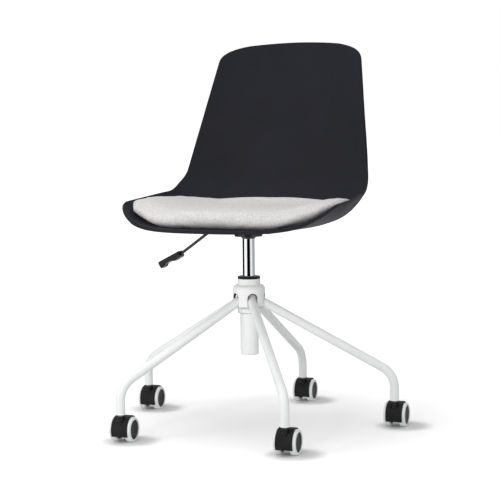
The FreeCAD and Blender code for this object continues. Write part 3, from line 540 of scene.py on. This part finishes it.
def bent_path(corners, bend, steps=14):
    """Straight, arc, straight: points (out, up) through three corners with one tangent bend."""
    start, knee, finish = (Vector(c) for c in corners)
    into, out = (knee - start).normalized(), (finish - knee).normalized()
    turn = into.angle(out)
    reach = bend * math.tan(turn / 2)
    first = knee - into * reach
    side = out - into * into.dot(out)
    centre = first + side.normalized() * bend
    arm = first - centre
    clockwise = into.x * out.y - into.y * out.x < 0
    points = [start]
    for i in range(steps + 1):
        angle = turn * i / steps * (-1 if clockwise else 1)
        points.append(centre + Matrix.Rotation(angle, 2) @ arm)
    return points + [finish]


def drop_to(points, out):
    """Cut a path's last straight where it reaches a distance out."""
    a, b = points[-2], points[-1]
    share = (out - a.x) / (b.x - a.x)
    return points[:-1] + [a + (b - a) * share]


def evenly(points, gap):
    """Points on every stretch of a path, so that no face is a long sliver."""
    path = [points[0]]
    for a, b in zip(points, points[1:]):
        count = max(1, round((b - a).length / gap))
        path += [a.lerp(b, i / count) for i in range(1, count + 1)]
    return path


def tube(name, points, radius, sides=32):
    """Closed round tube along points that lie in the XZ plane."""
    path = [Vector((p[0], 0, p[1])) for p in points]
    up = Vector((0, 1, 0))
    skin = []
    for i, point in enumerate(path):
        ahead = (path[min(i + 1, len(path) - 1)] - path[max(i - 1, 0)]).normalized()
        across = ahead.cross(up)
        skin += [point + (across * math.cos(a) + up * math.sin(a)) * radius
                 for a in (2 * math.pi * k / sides for k in range(sides))]
    return mesh_object(name, skin, tube_faces(len(path), sides))


# %% Legs
LEGS = 5
LEG_RADIUS = 9.5 * MM
LEG_END, LEG_KNEE, LEG_ROOT = (300 * MM, 57 * MM), (300 * MM, 113 * MM), (12 * MM, 272 * MM)
LEG_ROOT_OUT = 22 * MM            # hidden in the welded core
LEG_BEND = 50 * MM
LEG_RING_GAP = 8 * MM
FIRST_LEG, LEG_STEP = math.radians(38.5 - 90), math.radians(72)

leg_bend = bent_path((LEG_END, LEG_KNEE, LEG_ROOT), LEG_BEND)
leg_path = evenly(drop_to(leg_bend, LEG_ROOT_OUT), LEG_RING_GAP)
for k in range(LEGS):
    leg = tube("leg_tube_%d" % (k + 1), leg_path, LEG_RADIUS)
    leg.data.transform(Matrix.Rotation(FIRST_LEG + LEG_STEP * k, 4, "Z"))
    leg.data.set_sharp_from_angle(angle=SHARP)
    dress(leg, "white_enamel", "base", "leg_%d" % (k + 1))
print("legs:", len(leg_path), "rings each")

# %% [markdown]
# Between the hub's cover and its welded core it is dark, and that draws the arches over the legs.
# That dark is painted shade: strips of a dark grey line the inside of the cover, and a dark band
# follows each arch. Two thin grey strips are painted shadow lines at the steps below.

# %% Inside of the hub
CORE_SKIN, COVER_INSIDE, COVER_SKIN = 24.2 * MM, 30.45 * MM, 33.3 * MM
STRIP_STEPS, STRIP_THICKNESS = 24, 0.3 * MM
ARCH_HALF_ANGLE = math.radians(21.5)
ARCH_SPRING = 272.0 * MM
ARCH_SHADE_INSIDE, ARCH_SHADE_OUTSIDE = 8.6 * MM, 10.4 * MM
ARCH_SHADE_SETBACK = 0.2 * MM
ARCH_SHADE_CORNERS = (       # radius in the arch, skin of the cover
    (ARCH_SHADE_INSIDE, COVER_INSIDE), (ARCH_SHADE_OUTSIDE, COVER_INSIDE),
    (ARCH_SHADE_OUTSIDE, COVER_SKIN), (ARCH_SHADE_INSIDE, COVER_SKIN),
)


def strip(radius, begin, end, low, high):
    """Points of an upright curved strip round the column."""
    angles = (begin + (end - begin) * i / STRIP_STEPS for i in range(STRIP_STEPS + 1))
    return [Vector((radius * math.cos(a), radius * math.sin(a), z)) for a in angles for z in (low, high)]


def ring_strip(name, finish, radius, low, high, arches=False):
    """Strip round the whole column, or only on the cover's wall between its arches."""
    margin = ARCH_HALF_ANGLE if arches else 0.0
    points, faces = [], []
    for k in range(LEGS):
        begin = FIRST_LEG + LEG_STEP * k + margin
        end = FIRST_LEG + LEG_STEP * (k + 1) - margin
        faces += [tuple(len(points) + i for i in face) for face in grid_faces(STRIP_STEPS + 1, 2)]
        points += strip(radius, begin, end, low * MM, high * MM)
    piece = mesh_object(name, points, faces)
    skin = piece.modifiers.new("skin", "SOLIDIFY")
    skin.thickness = STRIP_THICKNESS
    skin.offset = 0.0
    dress(piece, finish, "base")


def arch_shade_band(number, steps=20):
    """Half ring of painted shade under an arch, as deep as the cover's wall."""
    points = []
    for i in range(steps + 1):
        angle = math.pi * i / steps
        for ring, skin in ARCH_SHADE_CORNERS:
            across = ring * math.cos(angle)
            out = math.sqrt((skin - ARCH_SHADE_SETBACK) ** 2 - across ** 2)
            points.append((out, across, ARCH_SPRING + ring * math.sin(angle)))
    shade_piece = mesh_object("arch_seal_%d" % number, points, tube_faces(steps + 1, len(ARCH_SHADE_CORNERS)))
    shade_piece.data.transform(Matrix.Rotation(FIRST_LEG + LEG_STEP * (number - 1), 4, "Z"))
    dress(shade_piece, "inside_shade", "base")


# dark strips of painted shade on the inside of the cover, between the arches
ring_strip("cover_shade", "inside_shade", COVER_INSIDE, low=255, high=290, arches=True)
# two thin grey painted shadow lines where the cover and the core step in
ring_strip("core_shadow_line", "seam_shade", CORE_SKIN, low=240.5, high=241.2)
ring_strip("cover_shadow_line", "seam_shade", COVER_SKIN + STRIP_THICKNESS / 2, low=253.0, high=253.7,
           arches=True)
# under each arch a band of painted shade, where the gap over the leg is dark
for number in range(1, LEGS + 1):
    arch_shade_band(number)
# the strips and arch bands counted here are painted shade
print("hub: 3 strips and", LEGS, "arch seals")

# %% [markdown]
# In the photograph the lever's grip sits a little flatter than its rod, so a copy of it is turned
# about its mouth.

# %% Lever grip
GRIP_TURN = math.radians(7.0)
MOUTH_IN, MOUTH_DOWN = 4 * MM, 6.5 * MM      # from the grip's inner end and from its top
grip = copy_of_node("lever_grip", "lever_handle")
low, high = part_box("lever_handle")
mouth = Vector((high[0] - MOUTH_IN, (low[1] + high[1]) / 2, high[2] - MOUTH_DOWN))
to_mouth, from_mouth = Matrix.Translation(mouth), Matrix.Translation(-mouth)
grip.data.transform(to_mouth @ Matrix.Rotation(GRIP_TURN, 4, "Y") @ from_mouth)
dress(grip, "black_grip", "lever", "lever_handle")
print("grip turned", round(math.degrees(GRIP_TURN), 1), "degrees")

# %% [markdown]
# A white studio. The sky is plain white to the eye but gives less than half of that as light, and
# lamps give the rest. The floor takes the shadow under the chair and at its casters and glows to
# white further out, so no horizon shows. Its glow is for the eye alone and lights nothing.

# %% Helpers for the stage
scene.view_settings.view_transform = "Standard"


def remapped(tree, value, low, high, to_low, to_high):
    step = tree.nodes.new("ShaderNodeMapRange")
    step.interpolation_type = "SMOOTHSTEP"
    ends = (("From Min", low), ("From Max", high), ("To Min", to_low), ("To Max", to_high))
    for name, number in ends:
        step.inputs[name].default_value = number
    tree.links.new(value, step.inputs["Value"])
    return step.outputs["Result"]


def joined(tree, first, second, operation):
    step = tree.nodes.new("ShaderNodeMath")
    step.operation = operation
    tree.links.new(first, step.inputs[0])
    tree.links.new(second, step.inputs[1])
    return step.outputs["Value"]


def plain_sight(tree):
    """1 for rays that the eye follows: straight from the camera, mirrored or through glass."""
    path = tree.nodes.new("ShaderNodeLightPath")
    total = path.outputs["Is Camera Ray"]
    for ray in ("Is Glossy Ray", "Is Transmission Ray"):
        total = joined(tree, total, path.outputs[ray], "MAXIMUM")
    return total


def nearest(tree, place, centre, near, far, glow, full):
    """Glow of the floor: little inside the near radius of a point, all of it past the far one."""
    distance = tree.nodes.new("ShaderNodeVectorMath")
    distance.operation = "DISTANCE"
    distance.inputs[1].default_value = centre
    tree.links.new(place, distance.inputs[0])
    return remapped(tree, distance.outputs["Value"], near, far, glow, full)


# %% Sky and floor
FLOOR_WHITE = 0.82
FLOOR_GLOW, FAR_GLOW = 0.56, 0.24
LAMPS_FADE, LAMPS_END = 0.6, 4.0                  # metres over which the lamps lose the floor
SHADOW_CENTRE = Vector((0.05, 0.02, 0.0))         # as the camera sees it: right, away, up
FOOT_SHADOW_SHIFT = Vector((0.014, 0.0, 0.0))


def white_world(light):
    """White to the eye, dimmer as a source of light."""
    world = bpy.data.worlds.new("white_studio")
    world.use_nodes = True
    tree = world.node_tree
    background = tree.nodes["Background"]
    background.inputs["Color"].default_value = (1, 1, 1, 1)
    strength = remapped(tree, plain_sight(tree), 0.0, 1.0, light, 1.0)
    tree.links.new(strength, background.inputs["Strength"])
    scene.world = world


def white_floor(size, near, far, glow, foot_near, foot_far, foot_glow):
    """White sheet that takes the shadow of the chair and its casters, and glows to white elsewhere."""
    corners = [(-size, -size, 0), (size, -size, 0), (size, size, 0), (-size, size, 0)]
    floor = mesh_object("studio_floor", corners, [(0, 1, 2, 3)])
    material = bpy.data.materials.new("studio_white")
    material.use_nodes = True
    tree = material.node_tree
    tree.nodes.clear()
    diffuse = tree.nodes.new("ShaderNodeBsdfDiffuse")
    diffuse.inputs["Color"].default_value = (FLOOR_WHITE, FLOOR_WHITE, FLOOR_WHITE, 1)
    light = tree.nodes.new("ShaderNodeEmission")
    place = tree.nodes.new("ShaderNodeTexCoord").outputs["Object"]
    white = nearest(tree, place, turn_to_chair @ SHADOW_CENTRE, near, far, glow, FLOOR_GLOW)
    for k in range(LEGS):
        low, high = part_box("caster_%d_housing" % (k + 1))
        caster = Vector(((low[0] + high[0]) / 2, (low[1] + high[1]) / 2, 0))
        foot = turn_to_chair @ FOOT_SHADOW_SHIFT + caster
        spot = nearest(tree, place, foot, foot_near, foot_far, foot_glow, FLOOR_GLOW)
        white = joined(tree, white, spot, "MINIMUM")
    far_white = nearest(tree, place, Vector(), LAMPS_FADE, LAMPS_END, 0.0, FAR_GLOW)
    white = joined(tree, white, far_white, "ADD")
    tree.links.new(joined(tree, white, plain_sight(tree), "MULTIPLY"), light.inputs["Strength"])
    both = tree.nodes.new("ShaderNodeAddShader")
    tree.links.new(diffuse.outputs["BSDF"], both.inputs[0])
    tree.links.new(light.outputs["Emission"], both.inputs[1])
    output = tree.nodes.new("ShaderNodeOutputMaterial")
    tree.links.new(both.outputs["Shader"], output.inputs["Surface"])
    floor.data.materials.append(material)


white_world(light=0.44)
white_floor(size=40.0, near=0.05, far=0.72, glow=0.26, foot_near=0.03, foot_far=0.09, foot_glow=0.0)
print("sky and floor: white, with a shadow under the chair")

# %% [markdown]
# Soft boxes light the chair from the left, the front and above, and one narrow lamp reaches under
# the seat. Places are given as the camera sees them: right, away, up.

# %% Lamps


def aimed(lamp, place, target):
    """Stand a lamp at a place and turn it to a target."""
    lamp.location = turn_to_chair @ Vector(place)
    ahead = turn_to_chair @ Vector(target) - lamp.location
    lamp.rotation_euler = ahead.to_track_quat("-Z", "Y").to_euler()
    scene.collection.objects.link(lamp)
    return lamp


def soft_box(name, place, target, size, power, mirrored=True, shadow=True):
    lamp = bpy.data.lights.new(name, "AREA")
    lamp.shape = "RECTANGLE"
    lamp.size, lamp.size_y = size
    lamp.energy = power
    lamp.use_shadow = shadow
    aimed(bpy.data.objects.new(name, lamp), place, target).visible_glossy = mirrored


def snoot(name, place, target, angle, power, softness=0.25):
    """Narrow lamp for a spot that the sky does not reach."""
    lamp = bpy.data.lights.new(name, "SPOT")
    lamp.spot_size = angle
    lamp.spot_blend = 1.0
    lamp.shadow_soft_size = softness
    lamp.energy = power
    aimed(bpy.data.objects.new(name, lamp), place, target).visible_glossy = False


soft_box("key_box", place=(-3.0, -1.8, 1.9), target=(0, 0, 0.3), size=(1.3, 1.3), power=25,
         mirrored=False)
soft_box("fill_box", place=(2.4, -3.0, 1.3), target=(0, 0, 0.3), size=(2.0, 2.0), power=7,
         mirrored=False)
soft_box("top_box", place=(-0.4, 0.0, 2.6), target=(0, 0, 0.4), size=(1.6, 1.6), power=8)
soft_box("sky_fill", place=(0.0, -0.6, 2.8), target=(0, 0, 0.2), size=(2.4, 2.4), power=20,
         mirrored=False, shadow=False)
soft_box("front_fill", place=(-1.0, -3.2, 1.1), target=(0, 0, 0.3), size=(2.0, 2.0), power=17,
         mirrored=False)
snoot("hub_snoot", place=(-1.3, -2.9, 1.5), target=(-0.10, 0, 0.23), angle=math.radians(13), power=140)
print("lamps:", len(bpy.data.lights))

# %% [markdown]
# Bright metal shows its surroundings, and a studio has dark ones too: the room behind the camera and
# a flag to the left make the black stripes on the gas cylinder. These cards are curved screens that
# only mirrors see.

# %% Cards
CARD_STEPS = 12


def mirror_card(name, begin, end, glow, tint=(1, 1, 1), away=1.7, low=0.02, high=0.52):
    """Screen round the chair between two angles from the camera's side, in degrees."""
    points = []
    for i in range(CARD_STEPS + 1):
        angle = math.radians(-90 + begin + (end - begin) * i / CARD_STEPS)
        for z in (low, high):
            points.append(turn_to_chair @ Vector((away * math.cos(angle), away * math.sin(angle), z)))
    card = mesh_object(name, points, grid_faces(CARD_STEPS + 1, 2))
    material = bpy.data.materials.new(name)
    material.use_nodes = True
    shader = material.node_tree.nodes["Principled BSDF"]
    shader.inputs["Base Color"].default_value = (0, 0, 0, 1)
    shader.inputs["Emission Color"].default_value = (*tint, 1)
    shader.inputs["Emission Strength"].default_value = glow
    shader.inputs["Specular IOR Level"].default_value = 0.0
    card.data.materials.append(material)
    for ray in ("camera", "diffuse", "transmission", "volume_scatter", "shadow"):
        setattr(card, "visible_" + ray, False)


mirror_card("room_behind_camera", begin=-32, end=26, glow=0.0)
mirror_card("white_screen_left", begin=-90, end=-32, glow=1.5)
mirror_card("black_flag_left", begin=-180, end=-90, glow=0.0)
mirror_card("white_screen_right", begin=26, end=70, glow=1.2)
mirror_card("grey_screen_right", begin=70, end=180, glow=0.6, tint=(0.90, 0.94, 1.0))
print("cards: two dark, three light")
